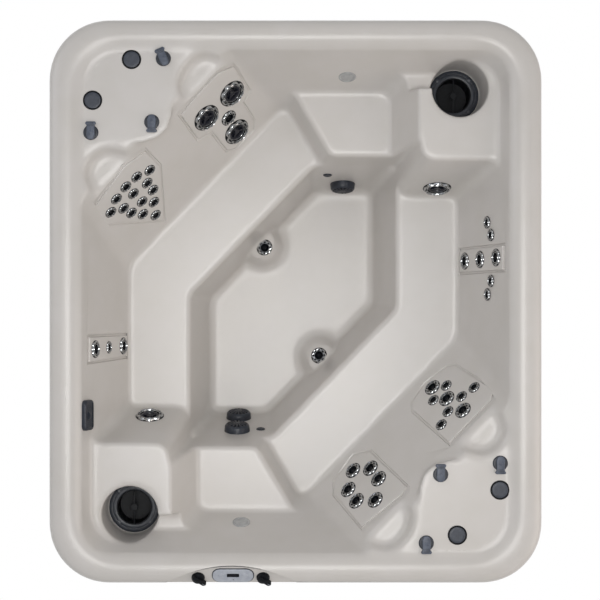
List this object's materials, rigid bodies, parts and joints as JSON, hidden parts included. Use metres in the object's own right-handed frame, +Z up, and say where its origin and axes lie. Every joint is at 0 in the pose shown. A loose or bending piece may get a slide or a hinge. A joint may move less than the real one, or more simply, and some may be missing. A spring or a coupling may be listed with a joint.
{
  "type": "hot tub",
  "caption": "Rectangular acrylic hot tub with contoured seats, jets, lift-out filters, corner controls and a boarded cabinet.",
  "frame": {"origin": "centre of the outer box, on the ground under the base pan", "axes": "+Z up, +X to the right of someone who faces the control panel, +Y away from them along the tub's length"},
  "size_m": [2.134, 2.4504, 0.965],
  "materials": {
    "acrylic": "glossy pale warm grey acrylic",
    "slate": "satin dark slate moulded plastic",
    "trim": "bright metal-faced trim on plastic bodies",
    "lever": "satin slate-blue moulded plastic",
    "lens": "clear-coated pale lens",
    "silver": "silver-blue coated plastic",
    "timber": "planed and treated softwood",
    "cladding": "brown foamed plastic boards with a fine grain",
    "motor": "painted dark cast housing",
    "pack": "light grey moulded box",
    "pipe": "white moulded plastic"
  },
  "bodies": {
    "tub": {"acrylic_shell": "acrylic", "suction_rear": "slate", "suction_front": "slate", "waterfall_spout": "slate", "valve_group_rear_left": "slate", "valve_group_front_right": "slate", "speaker_cup_rear_left_1": "slate", "speaker_cup_rear_left_2": "slate", "speaker_cup_front_right_1": "slate", "speaker_cup_front_right_2": "slate", "filter_housing_rear": "slate", "filter_housing_front": "slate", "base_pan": "slate", "jet_pod_left_seat": "trim", "jet_pod_rear_seat": "trim", "jet_pod_right_seat": "trim", "jet_pod_front_seat": "trim", "jet_pod_left_wall": "trim", "jet_pod_right_wall": "trim", "side_jet_rear": "trim", "side_jet_front": "trim", "footwell_jets": "trim", "light_lens_rear": "lens", "light_lens_front": "lens", "control_fascia": "silver", "support_frame": "timber", "front_access_panel": "cladding", "right_panel": "cladding", "rear_panel": "cladding", "left_panel": "cladding", "corner_post_front_right": "cladding", "corner_post_rear_right": "cladding", "corner_post_rear_left": "cladding", "corner_post_front_left": "cladding", "pump_left": "motor", "pump_right": "motor", "heater_pack": "pack", "drain_valve": "pipe"},
    "valve_lever_rear_left_1": {"valve_lever_rear_left_1": "lever"},
    "valve_lever_rear_left_2": {"valve_lever_rear_left_2": "lever"},
    "valve_lever_rear_left_3": {"valve_lever_rear_left_3": "lever"},
    "valve_lever_front_right_1": {"valve_lever_front_right_1": "lever"},
    "valve_lever_front_right_2": {"valve_lever_front_right_2": "lever"},
    "valve_lever_front_right_3": {"valve_lever_front_right_3": "lever"},
    "popup_speaker_rear_left_1": {"popup_speaker_rear_left_1": "slate"},
    "popup_speaker_rear_left_2": {"popup_speaker_rear_left_2": "slate"},
    "popup_speaker_front_right_1": {"popup_speaker_front_right_1": "slate"},
    "popup_speaker_front_right_2": {"popup_speaker_front_right_2": "slate"},
    "left_diverter_knob": {"left_diverter_knob": "slate"},
    "right_diverter_knob": {"right_diverter_knob": "slate"},
    "down_button": {"down_button": "slate"},
    "up_button": {"up_button": "slate"},
    "waterfall_wheel": {"waterfall_wheel": "slate"},
    "rotary_jet_face_1": {"rotary_jet_face_1": "slate"},
    "rotary_jet_face_2": {"rotary_jet_face_2": "slate"},
    "rotary_jet_face_3": {"rotary_jet_face_3": "slate"},
    "side_jet_face_rear": {"side_jet_face_rear": "slate"},
    "side_jet_face_front": {"side_jet_face_front": "slate"},
    "filter_basket_rear": {"filter_basket_rear": "slate"},
    "filter_basket_front": {"filter_basket_front": "slate"}
  },
  "joints": [
    {"name": "air_valve_rear_left_1_turn", "type": "hinge", "parent": "tub", "child": "valve_lever_rear_left_1", "pos_m": [-0.57191, 1.05701, 0.938], "axis": [0, 0, 1], "range_deg": [-45, 45]},
    {"name": "air_valve_rear_left_2_turn", "type": "hinge", "parent": "tub", "child": "valve_lever_rear_left_2", "pos_m": [-0.62206, 0.78274, 0.938], "axis": [0, 0, 1], "range_deg": [-45, 45]},
    {"name": "air_valve_rear_left_3_turn", "type": "hinge", "parent": "tub", "child": "valve_lever_rear_left_3", "pos_m": [-0.88561, 0.73764, 0.938], "axis": [0, 0, 1], "range_deg": [-45, 45]},
    {"name": "air_valve_front_right_1_turn", "type": "hinge", "parent": "tub", "child": "valve_lever_front_right_1", "pos_m": [0.6274, -0.74223, 0.938], "axis": [0, 0, 1], "range_deg": [-45, 45]},
    {"name": "air_valve_front_right_2_turn", "type": "hinge", "parent": "tub", "child": "valve_lever_front_right_2", "pos_m": [0.88561, -0.69347, 0.938], "axis": [0, 0, 1], "range_deg": [-45, 45]},
    {"name": "air_valve_front_right_3_turn", "type": "hinge", "parent": "tub", "child": "valve_lever_front_right_3", "pos_m": [0.56551, -1.03845, 0.938], "axis": [0, 0, 1], "range_deg": [-45, 45]},
    {"name": "popup_speaker_rear_left_1_rise", "type": "slide", "parent": "tub", "child": "popup_speaker_rear_left_1", "axis": [0, 0, 1], "range_m": [0, 0.05]},
    {"name": "popup_speaker_rear_left_2_rise", "type": "slide", "parent": "tub", "child": "popup_speaker_rear_left_2", "axis": [0, 0, 1], "range_m": [0, 0.05]},
    {"name": "popup_speaker_front_right_1_rise", "type": "slide", "parent": "tub", "child": "popup_speaker_front_right_1", "axis": [0, 0, 1], "range_m": [0, 0.05]},
    {"name": "popup_speaker_front_right_2_rise", "type": "slide", "parent": "tub", "child": "popup_speaker_front_right_2", "axis": [0, 0, 1], "range_m": [0, 0.05]},
    {"name": "left_diverter_knob_turn", "type": "hinge", "parent": "tub", "child": "left_diverter_knob", "pos_m": [-0.42195, -1.18862, 0.92718], "axis": [0, -0.5145, 0.8575], "range_deg": [-90, 45]},
    {"name": "right_diverter_knob_turn", "type": "hinge", "parent": "tub", "child": "right_diverter_knob", "pos_m": [-0.14055, -1.18862, 0.92718], "axis": [0, -0.5145, 0.8575], "range_deg": [-90, 45]},
    {"name": "down_button_press", "type": "slide", "parent": "tub", "child": "down_button", "axis": [0, 0.5145, -0.8575], "range_m": [0, 0.001], "stiffness_N_per_m": 400, "springref_m": -0.0005},
    {"name": "up_button_press", "type": "slide", "parent": "tub", "child": "up_button", "axis": [0, 0.5145, -0.8575], "range_m": [0, 0.001], "stiffness_N_per_m": 400, "springref_m": -0.0005},
    {"name": "waterfall_wheel_turn", "type": "hinge", "parent": "tub", "child": "waterfall_wheel", "pos_m": [-0.90451, -0.48956, 0.90522], "axis": [0.3328, 0, -0.943], "range_deg": [-90, 90]},
    {"name": "rotary_jet_face_1_spin", "type": "hinge", "parent": "tub", "child": "rotary_jet_face_1", "pos_m": [-0.27883, 0.93458, 0.74412], "axis": [0.5929, -0.5748, 0.564], "continuous": true},
    {"name": "rotary_jet_face_2_spin", "type": "hinge", "parent": "tub", "child": "rotary_jet_face_2", "pos_m": [-0.39257, 0.82535, 0.75237], "axis": [0.5929, -0.5748, 0.564], "continuous": true},
    {"name": "rotary_jet_face_3_spin", "type": "hinge", "parent": "tub", "child": "rotary_jet_face_3", "pos_m": [-0.26115, 0.78518, 0.57328], "axis": [0.5929, -0.5748, 0.564], "continuous": true},
    {"name": "side_jet_face_rear_spin", "type": "hinge", "parent": "tub", "child": "side_jet_face_rear", "pos_m": [0.65961, 0.52765, 0.56243], "axis": [0, -0.9436, 0.3312], "continuous": true},
    {"name": "side_jet_face_front_spin", "type": "hinge", "parent": "tub", "child": "side_jet_face_front", "pos_m": [-0.65961, -0.51839, 0.57159], "axis": [0, 0.9436, 0.3312], "continuous": true},
    {"name": "filter_basket_rear_lift", "type": "slide", "parent": "tub", "child": "filter_basket_rear", "axis": [0, 0, 1], "range_m": [0, 0.34]},
    {"name": "filter_basket_front_lift", "type": "slide", "parent": "tub", "child": "filter_basket_front", "axis": [0, 0, 1], "range_m": [0, 0.34]}
  ]
}
